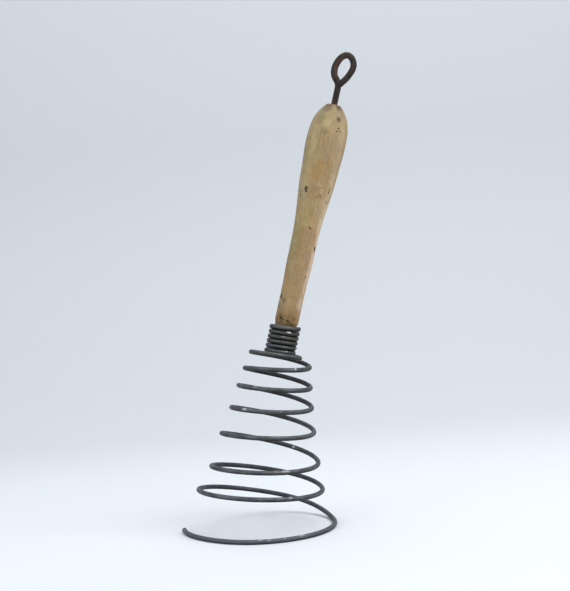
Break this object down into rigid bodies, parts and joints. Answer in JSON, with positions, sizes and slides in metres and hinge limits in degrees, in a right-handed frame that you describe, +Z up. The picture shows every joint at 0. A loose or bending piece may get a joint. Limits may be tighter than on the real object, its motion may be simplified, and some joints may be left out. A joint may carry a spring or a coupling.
{
  "type": "spring whisk",
  "caption": "Hand whisk with a conical coil of round steel wire wound onto a turned wooden handle, standing on its flat foot turn, with an iron hanging eye in the butt.",
  "frame": {"origin": "centre of the foot turn on the table the whisk stands on", "axes": "+Z up; +X the way the handle leans; +Y away from the viewer, the side where the wire leaves the foot turn"},
  "size_m": [0.1397, 0.1025, 0.3169],
  "materials": {
    "spring_wire": "dull dark grey, tarnished, with bare glints",
    "handle_wood": "pale bare wood, worn smooth, stained",
    "eye_iron": "dark brown rusted iron"
  },
  "bodies": {
    "foot": {"coil_foot_turn": "spring_wire"},
    "lower_coil": {"coil_lower_turns": "spring_wire"},
    "middle_coil_lower": {"coil_middle_turn_lower": "spring_wire"},
    "middle_coil_upper": {"coil_middle_turn_upper": "spring_wire"},
    "handle": {"coil_upper_turns": "spring_wire", "coil_collar": "spring_wire", "wooden_handle": "handle_wood", "hanging_eye": "eye_iron"}
  },
  "joints": [
    {"name": "press_lower_coil", "type": "slide", "parent": "foot", "child": "lower_coil", "axis": [-0.2817, 0, -0.9595], "range_m": [0, 0.012], "stiffness_N_per_m": 1000, "springref_m": -0.0012, "deforming": ["coil_lower_turns"]},
    {"name": "flex_sideways", "type": "hinge", "parent": "lower_coil", "child": "middle_coil_lower", "pos_m": [0.0095, -0.0013, 0.048], "axis": [0, 1, 0], "range_deg": [-15, 15], "stiffness_Nm_per_rad": 0.5, "springref_deg": -2.81, "deforming": ["coil_middle_turn_lower"]},
    {"name": "flex_fore_and_aft", "type": "hinge", "parent": "middle_coil_lower", "child": "middle_coil_upper", "pos_m": [0.0108, -0.0015, 0.059], "axis": [0.9595, 0, -0.2817], "range_deg": [-15, 15], "stiffness_Nm_per_rad": 0.5, "springref_deg": -0.2, "deforming": ["coil_middle_turn_upper"]},
    {"name": "press", "type": "slide", "parent": "middle_coil_upper", "child": "handle", "axis": [-0.2817, 0, -0.9595], "range_m": [0, 0.024], "stiffness_N_per_m": 500, "springref_m": -0.00178, "deforming": ["coil_upper_turns"]}
  ],
  "couplings": [
    {"joint": "press_lower_coil", "follows": "press", "ratio": 0.5}
  ]
}
